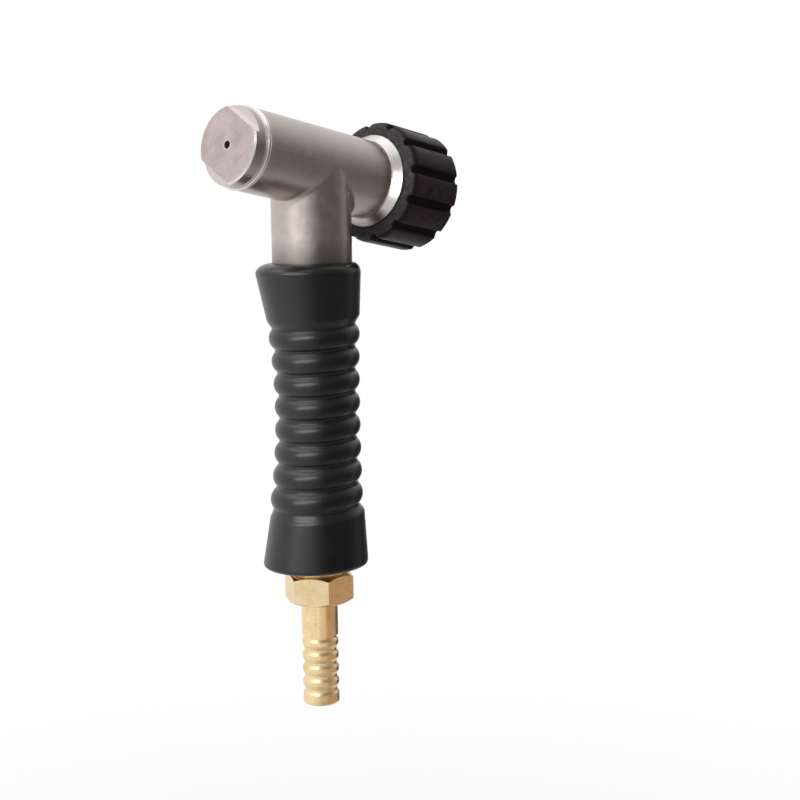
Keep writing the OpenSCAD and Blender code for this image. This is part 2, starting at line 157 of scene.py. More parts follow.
# The room, its four pale sides and its dark strip, the flag, show only in reflections; fill is the soft
# light on everything
studio = {"floorGap": 0.12, "floorSize": 6.0, "paper": (0.80, 0.84), "paperGrain": 400.0,
          "shadowShare": 0.25, "shadowReach": 0.5, "white": (1, 1, 1), "fill": 0.42, "room": 0.14,
          "roomRise": 0.22, "roomDrop": 0.36,
          "backdrop": {"way": (-0.62, 0.70, 0.35), "low": -0.30, "high": 1.12, "strength": 1.0},
          "left": {"way": (-0.73, -0.68, 0.0), "low": -0.75, "high": 0.75, "strength": 1.0},
          "ceiling": {"way": (-0.25, -0.40, 0.88), "low": 0.60, "high": 0.95, "strength": 0.6},
          "behind": {"way": (-0.12, 0.74, -0.66), "low": 0.62, "high": 0.98, "strength": 0.72},
          "flag": {"way": (-0.02, 0.99, -0.14), "low": 0.87, "high": 0.97, "strength": 0.85}}

# Lamps: angle round the handle from the nose towards +X, height angle, distance and Z of the point they face,
# roll, size, power, colour, and the nodes they light if not all
lamps = {
    "keyBox": {"angle": 10, "height": 24, "distance": 1.0, "aim": 0.08, "roll": 18, "size": (0.95, 0.32),
               "power": 4.0, "colour": (1, 1, 1), "only": []},
    "topBox": {"angle": -30, "height": 65, "distance": 0.9, "aim": 0.08, "roll": 0, "size": (0.9, 0.7),
               "power": 3.2, "colour": (1, 1, 1), "only": []},
    "tailCard": {"angle": 108, "height": -14, "distance": 0.3, "aim": -0.01, "roll": 0, "size": (0.6, 0.13),
                 "power": 0.072, "colour": (1, 0.45, 0.12),
                 "only": ["hose_nut", "hose_tail", "inlet_fitting"]},
    "tailFill": {"angle": 54, "height": -14, "distance": 0.5, "aim": -0.02, "roll": 0, "size": (0.55, 0.40),
                 "power": 0.5, "colour": (1, 0.91, 0.86), "only": ["hose_tail"]},
    "ringCard": {"angle": 50, "height": 4, "distance": 0.5, "aim": 0.137, "roll": 0, "size": (0.22, 0.30),
                 "power": 1.45, "colour": (1, 0.97, 0.98), "only": ["rear_collar"]},
}


def placeLamp(name, spec):
    light = bpy.data.lights.new(name, "AREA")
    light.shape = "RECTANGLE"
    light.size, light.size_y = spec["size"]
    light.energy = spec["power"]
    light.color = spec["colour"]
    lamp = bpy.data.objects.new(name, light)
    bpy.context.scene.collection.objects.link(lamp)
    turn, rise = math.radians(spec["angle"]), math.radians(spec["height"])
    way = Vector((math.sin(turn) * math.cos(rise), -math.cos(turn) * math.cos(rise), math.sin(rise)))
    lamp.location = Vector((0, 0, spec["aim"])) + way * spec["distance"]
    roll = Matrix.Rotation(math.radians(spec["roll"]), 4, "Z")
    lamp.rotation_euler = (way.to_track_quat("Z", "Y").to_matrix().to_4x4() @ roll).to_euler()
    if spec["only"]:
        lit = bpy.data.collections.new(name + "Lights")
        for node in spec["only"]:
            lit.objects.link(frame["nodes"][node])
        lamp.light_linking.receiver_collection = lit


for lampName, lampSpec in lamps.items():
    placeLamp(lampName, lampSpec)


# 1 for what is seen directly, and for what is seen in metal or through glass
def seenMasks(tree):
    path = addNode(tree, "ShaderNodeLightPath")
    mirrored = doMath(tree, "MAXIMUM", path.outputs["Is Glossy Ray"], path.outputs["Is Transmission Ray"])
    return path.outputs["Is Camera Ray"], mirrored


# One side of the room: nothing outside the angle whose cosine is low, full inside that of high
def glowTowards(tree, heading, side):
    ahead = addNode(tree, "ShaderNodeVectorMath", {"operation": "DOT_PRODUCT"}, {0: heading, 1: side["way"]})
    return addNode(tree, "ShaderNodeMapRange", {"interpolation_type": "SMOOTHSTEP"},
                   {"Value": ahead.outputs["Value"], "From Min": side["low"], "From Max": side["high"],
                    "To Max": side["strength"]}).outputs[0]


# What the metal mirrors of the room in each direction
def roomGlow(tree, heading):
    height = addNode(tree, "ShaderNodeSeparateXYZ", None, {0: heading}).outputs[2]
    above = doMath(tree, "MULTIPLY", height, studio["roomRise"])
    below = doMath(tree, "MULTIPLY", height, -studio["roomDrop"])
    glow = doMath(tree, "ADD", studio["room"], doMath(tree, "MAXIMUM", above, below))
    for side in ("backdrop", "left", "ceiling", "behind"):
        glow = doMath(tree, "MAXIMUM", glow, glowTowards(tree, heading, studio[side]))
    unflagged = doMath(tree, "SUBTRACT", 1.0, glowTowards(tree, heading, studio["flag"]))
    return doMath(tree, "MULTIPLY", glow, unflagged)


def buildWorld():
    world = bpy.data.worlds.new("studioWorld")
    world.use_nodes = True
    tree = world.node_tree
    tree.nodes.clear()
    heading = addNode(tree, "ShaderNodeTexCoord").outputs["Generated"]
    direct, mirrored = seenMasks(tree)
    light = addNode(tree, "ShaderNodeMix", {"data_type": "FLOAT"},
                    {0: mirrored, 2: studio["fill"], 3: roomGlow(tree, heading)})
    strength = doMath(tree, "MAXIMUM", direct, light.outputs[0])
    sky = addNode(tree, "ShaderNodeBackground", None, {"Color": (*studio["white"], 1), "Strength": strength})
    out = addNode(tree, "ShaderNodeOutputWorld")
    tree.links.new(sky.outputs[0], out.inputs["Surface"])
    bpy.context.scene.world = world


def buildFloor():
    low = cadBox[0].z - studio["floorGap"]
    half = studio["floorSize"]
    corners = [(-half, -half, low), (half, -half, low), (half, half, low), (-half, half, low)]
    floor = newMesh("studioFloor", corners, [(0, 1, 2, 3)], smooth=False)
    material = bpy.data.materials.new("floorPaper")
    material.use_nodes = True
    tree = material.node_tree
    tree.nodes.clear()
    spot = addNode(tree, "ShaderNodeTexCoord")
    grain = addNode(tree, "ShaderNodeTexNoise", None,
                    {"Vector": spot.outputs["Object"], "Scale": studio["paperGrain"], "Detail": 2.0})
    darkest, palest = studio["paper"]
    paper = addNode(tree, "ShaderNodeMapRange", None,
                    {"Value": grain.outputs["Fac"], "To Min": darkest, "To Max": palest})
    matte = addNode(tree, "ShaderNodeBsdfDiffuse", None, {"Color": paper.outputs[0]})
    away = addNode(tree, "ShaderNodeVectorMath", {"operation": "LENGTH"}, {0: spot.outputs["Object"]})
    share = addNode(tree, "ShaderNodeMapRange", {"interpolation_type": "SMOOTHSTEP"},
                    {"Value": away.outputs["Value"], "From Max": studio["shadowReach"],
                     "To Min": 1 - studio["shadowShare"], "To Max": 1.0})
    heading = addNode(tree, "ShaderNodeVectorMath", {"operation": "NORMALIZE"}, {0: spot.outputs["Object"]})
    direct, mirrored = seenMasks(tree)
    glow = addNode(tree, "ShaderNodeEmission", None,
                   {"Color": (*studio["white"], 1),
                    "Strength": doMath(tree, "MAXIMUM", direct, roomGlow(tree, heading.outputs[0]))})
    both = addNode(tree, "ShaderNodeMixShader", None,
                   {0: share.outputs[0], 1: matte.outputs[0], 2: glow.outputs[0]})
    lit = addNode(tree, "ShaderNodeMixShader", None,
                  {0: doMath(tree, "MAXIMUM", direct, mirrored), 1: matte.outputs[0], 2: both.outputs[0]})
    out = addNode(tree, "ShaderNodeOutputMaterial")
    tree.links.new(lit.outputs[0], out.inputs["Surface"])
    floor.data.materials.append(material)


buildWorld()
buildFloor()
bpy.context.scene.view_settings.view_transform = "Standard"
print("studio done")


floatKind, vectorKind = "NodeSocketFloat", "NodeSocketVector"


def newEffect(name, inputs, outputs):
    tree = bpy.data.node_groups.new(name, "ShaderNodeTree")
    for label, kind, value in inputs:
        socket = tree.interface.new_socket(name=label, in_out="INPUT", socket_type=kind)
        if value is not None:
            socket.default_value = value
    for label, kind in outputs:
        tree.interface.new_socket(name=label, in_out="OUTPUT", socket_type=kind)
    return tree, addNode(tree, "NodeGroupInput"), addNode(tree, "NodeGroupOutput")


# Distance from the Z axis of a point with this X and Y
def reachOf(tree, x, y):
    flat = addNode(tree, "ShaderNodeCombineXYZ", None, {0: x, 1: y})
    length = addNode(tree, "ShaderNodeVectorMath", {"operation": "LENGTH"}, {0: flat.outputs[0]})
    return length.outputs["Value"]


# Place on the barrel: station along its axis, distance from it, and position with the axis upright
def buildBarrelPlace():
    tree, start, end = newEffect("barrelPlace", [("Vector", vectorKind, None)],
                                 [("Along", floatKind), ("Radius", floatKind), ("Local", vectorKind)])
    moved = addNode(tree, "ShaderNodeVectorMath", {"operation": "SUBTRACT"},
                    {0: start.outputs["Vector"], 1: barrel["centre"]})
    turned = addNode(tree, "ShaderNodeVectorRotate", {"rotation_type": "X_AXIS"},
                     {"Vector": moved.outputs[0], "Angle": math.radians(90 + barrel["tilt"])})
    parts = addNode(tree, "ShaderNodeSeparateXYZ", None, {0: turned.outputs[0]})
    tree.links.new(parts.outputs[2], end.inputs["Along"])
    tree.links.new(reachOf(tree, parts.outputs[0], parts.outputs[1]), end.inputs["Radius"])
    tree.links.new(turned.outputs[0], end.inputs["Local"])
    return tree


# Fine lines drawn along Z of the vector, and soft blotches that don't stretch
def buildDrawnGrain():
    tree, start, end = newEffect("drawnGrain",
                                 [("Vector", vectorKind, None), ("Line Scale", floatKind, 3500.0),
                                  ("Stretch", floatKind, 0.03), ("Blotch Scale", floatKind, 260.0)],
                                 [("Lines", floatKind), ("Blotches", floatKind)])
    squash = addNode(tree, "ShaderNodeCombineXYZ", None, {0: 1.0, 1: 1.0, 2: start.outputs["Stretch"]})
    long = addNode(tree, "ShaderNodeVectorMath", {"operation": "MULTIPLY"},
                   {0: start.outputs["Vector"], 1: squash.outputs[0]})
    lines = addNode(tree, "ShaderNodeTexNoise", None,
                    {"Vector": long.outputs[0], "Scale": start.outputs["Line Scale"], "Detail": 3.0,
                     "Roughness": 0.6})
    blotches = addNode(tree, "ShaderNodeTexNoise", None,
                       {"Vector": start.outputs["Vector"], "Scale": start.outputs["Blotch Scale"],
                        "Detail": 5.0, "Roughness": 0.62, "Distortion": 0.4})
    tree.links.new(lines.outputs["Fac"], end.inputs["Lines"])
    tree.links.new(blotches.outputs["Fac"], end.inputs["Blotches"])
    return tree


# Rings cut by a lathe tool: a value that changes only with W
def buildLatheRings():
    tree, start, end = newEffect("latheRings", [("W", floatKind, 0.0), ("Scale", floatKind, 4000.0)],
                                 [("Rings", floatKind)])
    fine = addNode(tree, "ShaderNodeTexNoise", {"noise_dimensions": "1D"},
                   {"W": start.outputs["W"], "Scale": start.outputs["Scale"], "Detail": 4.0,
                    "Roughness": 0.7})
    tree.links.new(fine.outputs["Fac"], end.inputs["Rings"])
    return tree


# Mask that grows from nothing at From to whole at Full and past it, broken up by noise; it marks wear, dust
# and bands of colour, and also painted highlights
def buildWearAndHighlightBand():
    tree, start, end = newEffect("wearAndHighlightBand",
                                 [("Value", floatKind, 0.0), ("From", floatKind, 0.0),
                                  ("Full", floatKind, 1.0), ("Vector", vectorKind, None),
                                  ("Noise Scale", floatKind, 900.0), ("Breakup", floatKind, 0.6)],
                                 [("Mask", floatKind)])
    ramp = addNode(tree, "ShaderNodeMapRange", {"interpolation_type": "SMOOTHSTEP"},
                   {"Value": start.outputs["Value"], "From Min": start.outputs["From"],
                    "From Max": start.outputs["Full"]})
    noise = addNode(tree, "ShaderNodeTexNoise", None,
                    {"Vector": start.outputs["Vector"], "Scale": start.outputs["Noise Scale"], "Detail": 4.0})
    broken = addNode(tree, "ShaderNodeMapRange", None,
                     {"Value": noise.outputs["Fac"], "From Min": 0.35, "From Max": 0.65})
    gaps = doMath(tree, "SUBTRACT", 1.0, broken.outputs[0])
    lost = doMath(tree, "MULTIPLY", start.outputs["Breakup"], gaps)
    mask = doMath(tree, "MULTIPLY", ramp.outputs[0], doMath(tree, "SUBTRACT", 1.0, lost), clamp=True)
    tree.links.new(mask, end.inputs["Mask"])
    return tree


# Pitted skin of moulded rubber or plastic
def buildMouldGrain():
    tree, start, end = newEffect("mouldGrain",
                                 [("Vector", vectorKind, None), ("Pit Scale", floatKind, 4200.0),
                                  ("Cloud Scale", floatKind, 180.0)],
                                 [("Pits", floatKind), ("Clouds", floatKind)])
    place, pitScale = start.outputs["Vector"], start.outputs["Pit Scale"]
    pits = addNode(tree, "ShaderNodeTexVoronoi", {"feature": "SMOOTH_F1"},
                   {"Vector": place, "Scale": pitScale, "Smoothness": 0.6})
    fine = addNode(tree, "ShaderNodeTexNoise", None, {"Vector": place, "Scale": pitScale, "Detail": 3.0})
    clouds = addNode(tree, "ShaderNodeTexNoise", None,
                     {"Vector": place, "Scale": start.outputs["Cloud Scale"], "Detail": 5.0,
                      "Roughness": 0.6})
    both = doMath(tree, "ADD", doMath(tree, "MULTIPLY", pits.outputs["Distance"], 0.6),
                  doMath(tree, "MULTIPLY", fine.outputs["Fac"], 0.5))
    tree.links.new(both, end.inputs["Pits"])
    tree.links.new(clouds.outputs["Fac"], end.inputs["Clouds"])
    return tree


barrelPlace = buildBarrelPlace()
drawnGrain = buildDrawnGrain()
latheRings = buildLatheRings()
wearAndHighlightBand = buildWearAndHighlightBand()
mouldGrain = buildMouldGrain()


def effect(tree, group, inputs):
    return addNode(tree, "ShaderNodeGroup", {"node_tree": group}, inputs)


def mixColour(tree, mask, first, second):
    node = addNode(tree, "ShaderNodeMix", {"data_type": "RGBA"})
    for index, value in ((0, mask), (6, first), (7, second)):
        if isinstance(value, bpy.types.NodeSocket):
            tree.links.new(value, node.inputs[index])
        else:
            node.inputs[index].default_value = (*value, 1) if isinstance(value, tuple) else value
    return node.outputs[2]


def spread(tree, value, low, high, fromLow=0.0, fromHigh=1.0):
    return addNode(tree, "ShaderNodeMapRange", None,
                   {"Value": value, "From Min": fromLow, "From Max": fromHigh, "To Min": low,
                    "To Max": high}).outputs[0]


def startMaterial(name, metallic=0.0, **fixed):
    material = bpy.data.materials.new(name)
    material.use_nodes = True
    tree = material.node_tree
    tree.nodes.clear()
    surface = addNode(tree, "ShaderNodeBsdfPrincipled", None, {"Metallic": metallic, **fixed})
    out = addNode(tree, "ShaderNodeOutputMaterial")
    tree.links.new(surface.outputs[0], out.inputs["Surface"])
    place = addNode(tree, "ShaderNodeTexCoord")
    return material, tree, surface, place.outputs["Object"]


def addBump(tree, surface, height, strength, distance):
    bump = addNode(tree, "ShaderNodeBump", None,
                   {"Height": height, "Strength": strength, "Distance": distance})
    tree.links.new(bump.outputs[0], surface.inputs["Normal"])


# Roughness between the two values of a look, as the noise goes from dark to light
def varyRoughness(tree, surface, noise, rough):
    tree.links.new(spread(tree, noise, *rough, 0.3, 0.7), surface.inputs["Roughness"])


# Share of painted shade at each height, most at the foot
def grimeShare(tree, place, look):
    height = addNode(tree, "ShaderNodeSeparateXYZ", None, {0: place}).outputs[2]
    return spread(tree, height, look["grimeShare"], 0, look["grimeFrom"], look["grimeTo"])


satinLook = {"dark": (0.475, 0.412, 0.38), "light": (0.595, 0.522, 0.487), "edge": (0.74, 0.69, 0.67),
             "grime": (0.16, 0.135, 0.125), "grimeFrom": 107.9 * mm, "grimeTo": 115.5 * mm, "grimeShare": 0.8,
             "lineShare": 0.22, "blotchShare": 0.78, "edgeFrom": 26.7 * mm, "edgeFull": 29.1 * mm,
             "edgeShare": 0.35, "barrelSkin": 0.08 * mm, "rough": (0.28, 0.38), "bump": 0.12,
             "bumpDepth": 0.02 * mm}


def buildSatinMetal():
    material, tree, surface, place = startMaterial("satinMetal", 1.0)
    onBarrel = effect(tree, barrelPlace, {"Vector": place})
    isBarrel = doMath(tree, "LESS_THAN", onBarrel.outputs["Radius"],
                      barrel["radius"] + satinLook["barrelSkin"])
    along = addNode(tree, "ShaderNodeMix", {"data_type": "VECTOR"},
                    {0: isBarrel, 4: place, 5: onBarrel.outputs["Local"]})
    grain = effect(tree, drawnGrain, {"Vector": along.outputs[1]})
    tone = doMath(tree, "ADD", doMath(tree, "MULTIPLY", grain.outputs["Lines"], satinLook["lineShare"]),
                  doMath(tree, "MULTIPLY", grain.outputs["Blotches"], satinLook["blotchShare"]))
    colour = mixColour(tree, spread(tree, tone, 0, 1, 0.30, 0.70), satinLook["dark"], satinLook["light"])
    edge = effect(tree, wearAndHighlightBand, {"Value": doMath(tree, "ABSOLUTE", onBarrel.outputs["Along"]),
                                   "From": satinLook["edgeFrom"], "Full": satinLook["edgeFull"],
                                   "Vector": place, "Breakup": 0.5})
    worn = doMath(tree, "MULTIPLY", edge.outputs["Mask"], satinLook["edgeShare"])
    colour = mixColour(tree, worn, colour, satinLook["edge"])
    # Painted shade: the metal is darkened just above the grip's top, standing in for the shade and the
    # rubber's dark reflection at the join
    colour = mixColour(tree, grimeShare(tree, place, satinLook), colour, satinLook["grime"])
    tree.links.new(colour, surface.inputs["Base Color"])
    varyRoughness(tree, surface, grain.outputs["Blotches"], satinLook["rough"])
    addBump(tree, surface, grain.outputs["Lines"], satinLook["bump"], satinLook["bumpDepth"])
    return material


turnedLook = {"dark": (0.42, 0.35, 0.342), "light": (0.64, 0.54, 0.528), "rim": (0.86, 0.82, 0.80),
              "step": (0.64, 0.58, 0.57), "face": 34.8 * mm, "sideDepth": 0.12 * mm, "headRadius": 12 * mm,
              "rimFrom": 0.75 * mm, "rimFull": 0.45 * mm, "rimDepth": 0.6 * mm, "flatInset": 0.1 * mm,
              "holeRadius": 1.22 * mm, "holeFrom": 0.5 * mm, "holeFull": 0.2 * mm, "holeHighlightShare": 0.5,
              "ringScale": 3600.0, "blotchScale": 170.0, "ringShare": 0.35, "blotchShare": 0.65,
              "rough": (0.24, 0.36), "bump": 0.5, "bumpDepth": 0.02 * mm}


def buildTurnedMetal():
    material, tree, surface, place = startMaterial("turnedMetal", 1.0)
    onBarrel = effect(tree, barrelPlace, {"Vector": place})
    radius = onBarrel.outputs["Radius"]
    depth = doMath(tree, "ADD", onBarrel.outputs["Along"], turnedLook["face"])
    isSide = doMath(tree, "GREATER_THAN", depth, turnedLook["sideDepth"])
    across = addNode(tree, "ShaderNodeMix", {"data_type": "FLOAT"}, {0: isSide, 2: radius, 3: depth})
    rings = effect(tree, latheRings, {"W": across.outputs[0], "Scale": turnedLook["ringScale"]})
    grain = effect(tree, drawnGrain, {"Vector": place, "Blotch Scale": turnedLook["blotchScale"]})
    tone = doMath(tree, "ADD", doMath(tree, "MULTIPLY", rings.outputs["Rings"], turnedLook["ringShare"]),
                  doMath(tree, "MULTIPLY", grain.outputs["Blotches"], turnedLook["blotchShare"]))
    colour = mixColour(tree, spread(tree, tone, 0, 1, 0.35, 0.65), turnedLook["dark"], turnedLook["light"])
    # Painted highlight: a near-white band on the front rim of the face
    rim = effect(tree, wearAndHighlightBand, {"Value": radius, "From": turnedLook["headRadius"] - turnedLook["rimFrom"],
                                  "Full": turnedLook["headRadius"] - turnedLook["rimFull"],
                                  "Vector": place, "Breakup": 0.35})
    isFront = doMath(tree, "LESS_THAN", depth, turnedLook["rimDepth"])
    edge = doMath(tree, "MULTIPLY", rim.outputs["Mask"], isFront)
    hole = effect(tree, wearAndHighlightBand, {"Value": radius, "From": turnedLook["holeRadius"] + turnedLook["holeFrom"],
                                   "Full": turnedLook["holeRadius"] + turnedLook["holeFull"],
                                   "Vector": place, "Breakup": 0.3})
    isCut = doMath(tree, "LESS_THAN", radius, turnedLook["headRadius"] - turnedLook["flatInset"])
    inFlat = doMath(tree, "MULTIPLY", isSide, isCut)
    colour = mixColour(tree, inFlat, colour, turnedLook["step"])
    # Painted highlight at half strength round the hole's edge
    paintedHoleHighlight = doMath(tree, "MULTIPLY", hole.outputs["Mask"], turnedLook["holeHighlightShare"])
    colour = mixColour(tree, doMath(tree, "MAXIMUM", edge, paintedHoleHighlight), colour, turnedLook["rim"])
    tree.links.new(colour, surface.inputs["Base Color"])
    varyRoughness(tree, surface, rings.outputs["Rings"], turnedLook["rough"])
    addBump(tree, surface, rings.outputs["Rings"], turnedLook["bump"], turnedLook["bumpDepth"])
    return material


ringLook = {"dark": (0.74, 0.68, 0.685), "light": (0.86, 0.81, 0.81),
            "grime": (0.27, 0.20, 0.205), "grimeFrom": 119.0 * mm, "grimeTo": 124.5 * mm, "grimeShare": 0.9,
            "ringScale": 5200.0, "blotchScale": 420.0, "rough": (0.24, 0.36), "bump": 0.3,
            "bumpDepth": 0.015 * mm}


def buildBrightRing():
    material, tree, surface, place = startMaterial("brightRing", 1.0)
    onBarrel = effect(tree, barrelPlace, {"Vector": place})
    outward = doMath(tree, "ADD", onBarrel.outputs["Along"], onBarrel.outputs["Radius"])
    rings = effect(tree, latheRings, {"W": outward, "Scale": ringLook["ringScale"]})
    grain = effect(tree, drawnGrain, {"Vector": place, "Blotch Scale": ringLook["blotchScale"]})
    colour = mixColour(tree, grain.outputs["Blotches"], ringLook["dark"], ringLook["light"])
    # Painted shade: the collar is darkened towards its underside
    colour = mixColour(tree, grimeShare(tree, place, ringLook), colour, ringLook["grime"])
    tree.links.new(colour, surface.inputs["Base Color"])
    varyRoughness(tree, surface, rings.outputs["Rings"], ringLook["rough"])
    addBump(tree, surface, rings.outputs["Rings"], ringLook["bump"], ringLook["bumpDepth"])
    return material


knobLook = {"deep": (0.0085, 0.0045, 0.0055), "top": (0.020, 0.0085, 0.0115), "worn": (0.050, 0.036, 0.040),
            "front": (0.07, 0.064, 0.066), "specular": 0.17, "radius": 19.5 * mm, "crownDepth": 2.2 * mm,
            "wornDepth": 0.5 * mm, "wornShare": 0.4, "station": 27.5 * mm, "frontFrom": 0.8 * mm,
            "frontFull": 0.1 * mm, "pitScale": 3600.0, "cloudScale": 220.0, "rough": (0.34, 0.46),
            "grooveRough": 0.4, "bump": 0.28, "bumpDepth": 0.03 * mm}


def buildKnobPlastic():
    material, tree, surface, place = startMaterial("knobPlastic", 0.0,
                                                   **{"Specular IOR Level": knobLook["specular"]})
    onBarrel = effect(tree, barrelPlace, {"Vector": place})
    grain = effect(tree, mouldGrain, {"Vector": place, "Pit Scale": knobLook["pitScale"],
                                      "Cloud Scale": knobLook["cloudScale"]})
    # Painted shade: the colour darkens from the crowns down into the grooves
    rise = spread(tree, onBarrel.outputs["Radius"], 0, 1, knobLook["radius"] - knobLook["crownDepth"],
                  knobLook["radius"])
    colour = mixColour(tree, doMath(tree, "MULTIPLY", rise, spread(tree, grain.outputs["Clouds"], 0.5, 1.0)),
                       knobLook["deep"], knobLook["top"])
    worn = effect(tree, wearAndHighlightBand, {"Value": onBarrel.outputs["Radius"],
                                   "From": knobLook["radius"] - knobLook["wornDepth"],
                                   "Full": knobLook["radius"], "Vector": place, "Noise Scale": 500.0,
                                   "Breakup": 0.95})
    wear = doMath(tree, "MULTIPLY", worn.outputs["Mask"], knobLook["wornShare"])
    colour = mixColour(tree, wear, colour, knobLook["worn"])
    face = effect(tree, wearAndHighlightBand, {"Value": onBarrel.outputs["Along"],
                                   "From": knobLook["station"] + knobLook["frontFrom"],
                                   "Full": knobLook["station"] + knobLook["frontFull"],
                                   "Vector": place, "Noise Scale": 700.0, "Breakup": 0.5})
    colour = mixColour(tree, face.outputs["Mask"], colour, knobLook["front"])
    tree.links.new(colour, surface.inputs["Base Color"])
    rough = spread(tree, grain.outputs["Clouds"], *knobLook["rough"], 0.3, 0.7)
    dull = doMath(tree, "MULTIPLY", doMath(tree, "SUBTRACT", 1.0, rise), knobLook["grooveRough"])
    tree.links.new(doMath(tree, "ADD", rough, dull, clamp=True), surface.inputs["Roughness"])
    addBump(tree, surface, grain.outputs["Pits"], knobLook["bump"], knobLook["bumpDepth"])
    return material


rubberLook = {"deep": (0.0012, 0.0012, 0.0013), "light": (0.0036, 0.0035, 0.0037),
              "dust": (0.06, 0.057, 0.056), "dustFrom": 0.5, "dustFull": 0.8, "dustShare": 0.05,
              "specular": 0.60, "pitScale": 5200.0, "cloudScale": 150.0, "rough": (0.27, 0.34), "bump": 0.22,
              "bumpDepth": 0.03 * mm}


def buildGripRubber():
    material, tree, surface, place = startMaterial("gripRubber", 0.0,
                                                   **{"Specular IOR Level": rubberLook["specular"]})
    grain = effect(tree, mouldGrain, {"Vector": place, "Pit Scale": rubberLook["pitScale"],
                                      "Cloud Scale": rubberLook["cloudScale"]})
    colour = mixColour(tree, spread(tree, grain.outputs["Clouds"], 0, 1, 0.3, 0.7), rubberLook["deep"],
                       rubberLook["light"])
    dust = effect(tree, wearAndHighlightBand, {"Value": grain.outputs["Clouds"], "From": rubberLook["dustFrom"],
                                   "Full": rubberLook["dustFull"], "Vector": place, "Noise Scale": 1400.0,
                                   "Breakup": 0.9})
    dusty = doMath(tree, "MULTIPLY", dust.outputs["Mask"], rubberLook["dustShare"])
    colour = mixColour(tree, dusty, colour, rubberLook["dust"])
    tree.links.new(colour, surface.inputs["Base Color"])
    varyRoughness(tree, surface, grain.outputs["Clouds"], rubberLook["rough"])
    addBump(tree, surface, grain.outputs["Pits"], rubberLook["bump"], rubberLook["bumpDepth"])
    return material


plainLook = {"blotchScale": 350.0, "ringShare": 0.4, "blotchShare": 0.6, "pitScale": 3000.0,
             "cloudScale": 200.0, "plasticBump": 0.15, "bumpDepth": 0.02 * mm}


# Metal whose only marks are lathe rings along Z and soft blotches
def buildPlainMetal(name, dark, light, rough, ringScale, bump):
    material, tree, surface, place = startMaterial(name, 1.0)
    height = addNode(tree, "ShaderNodeSeparateXYZ", None, {0: place}).outputs[2]
    rings = effect(tree, latheRings, {"W": height, "Scale": ringScale})
    grain = effect(tree, drawnGrain, {"Vector": place, "Blotch Scale": plainLook["blotchScale"]})
    tone = doMath(tree, "ADD", doMath(tree, "MULTIPLY", rings.outputs["Rings"], plainLook["ringShare"]),
                  doMath(tree, "MULTIPLY", grain.outputs["Blotches"], plainLook["blotchShare"]))
    colour = mixColour(tree, spread(tree, tone, 0, 1, 0.35, 0.65), dark, light)
    tree.links.new(colour, surface.inputs["Base Color"])
    varyRoughness(tree, surface, grain.outputs["Blotches"], rough)
    addBump(tree, surface, rings.outputs["Rings"], bump, plainLook["bumpDepth"])
    return material


def buildPlainPlastic(name, dark, light, rough):
    material, tree, surface, place = startMaterial(name, 0.0)
    grain = effect(tree, mouldGrain, {"Vector": place, "Pit Scale": plainLook["pitScale"],
                                      "Cloud Scale": plainLook["cloudScale"]})
    tree.links.new(mixColour(tree, grain.outputs["Clouds"], dark, light), surface.inputs["Base Color"])
    varyRoughness(tree, surface, grain.outputs["Clouds"], rough)
    addBump(tree, surface, grain.outputs["Pits"], plainLook["plasticBump"], plainLook["bumpDepth"])
    return material


# The plain ones are given as dark and light colour, range of roughness, scale of rings and bump
materials = {
    "satin_metal": buildSatinMetal(),
    "turned_metal": buildTurnedMetal(),
    "bright_ring": buildBrightRing(),
    "knob_plastic": buildKnobPlastic(),
    "grip_rubber": buildGripRubber(),
    "hose_brass": buildPlainMetal("hoseBrass", (0.79, 0.57, 0.27), (0.96, 0.80, 0.53), (0.22, 0.32),
                                  3200.0, 0.3),
    "inner_brass": buildPlainMetal("innerBrass", (0.68, 0.48, 0.22), (0.82, 0.62, 0.32), (0.28, 0.40),
                                   3000.0, 0.4),
    "copper": buildPlainMetal("copper", (0.62, 0.30, 0.19), (0.80, 0.44, 0.30), (0.26, 0.40), 2800.0, 0.4),
    "inner_steel": buildPlainMetal("innerSteel", (0.40, 0.40, 0.40), (0.56, 0.56, 0.57), (0.30, 0.44),
                                   3000.0, 0.4),
    "insulator": buildPlainPlastic("insulator", (0.74, 0.70, 0.62), (0.84, 0.81, 0.74), (0.42, 0.55)),
    "seal_rubber": buildPlainPlastic("sealRubber", (0.018, 0.015, 0.015), (0.035, 0.03, 0.03), (0.5, 0.65)),
}

for entry in frame["record"]["subparts"]:
    node = frame["nodes"][entry["node"]]
    node.data.materials.clear()
    node.data.materials.append(materials[entry["material_slot"]])
print("materials done")


saddle = {"fillet": 2.4, "sink": 0.35, "backShare": 1.3, "sharpAngle": 30, "around": 240, "arcSteps": 10}


# A rolling-ball bead between two tubes of one radius, closed by a back that lies inside the metal
def buildSaddleBead():
    reach, tilt = barrel["radius"], math.radians(barrel["tilt"])
    axis = Vector((0, math.cos(tilt), -math.sin(tilt)))
    centre = Vector(barrel["centre"])
    ball = saddle["fillet"] * mm
    rings = []
    for k in range(saddle["around"]):
        a = 2 * math.pi * (k + 0.5) / saddle["around"]
        x, y = (reach + ball) * math.cos(a), (reach + ball) * math.sin(a)
        z = centre.z - (abs(y) + y * math.sin(tilt)) / math.cos(tilt)
        middle = Vector((x, y, z))
        toStub = -Vector((x, y, 0)).normalized()
        fromAxis = (middle - centre) - axis * (middle - centre).dot(axis)
        toBarrel = -fromAxis.normalized()
        ring = []
        for step in range(saddle["arcSteps"] + 1):
            way = toStub.lerp(toBarrel, step / saddle["arcSteps"]).normalized()
            ring.append(tuple(middle + way * ball))
        deep = (toStub + toBarrel).normalized() * (ball + saddle["sink"] * mm) * saddle["backShare"]
        ring.append(tuple(middle + deep))
        rings.append(ring)
    bead = skin("saddleBead", rings, closed=True)
    weld(bead)
    bead.data.set_sharp_from_angle(angle=math.radians(saddle["sharpAngle"]))
    bead.data.materials.append(materials["satin_metal"])
    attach(bead, "torch_body")


buildSaddleBead()
print("saddle done")


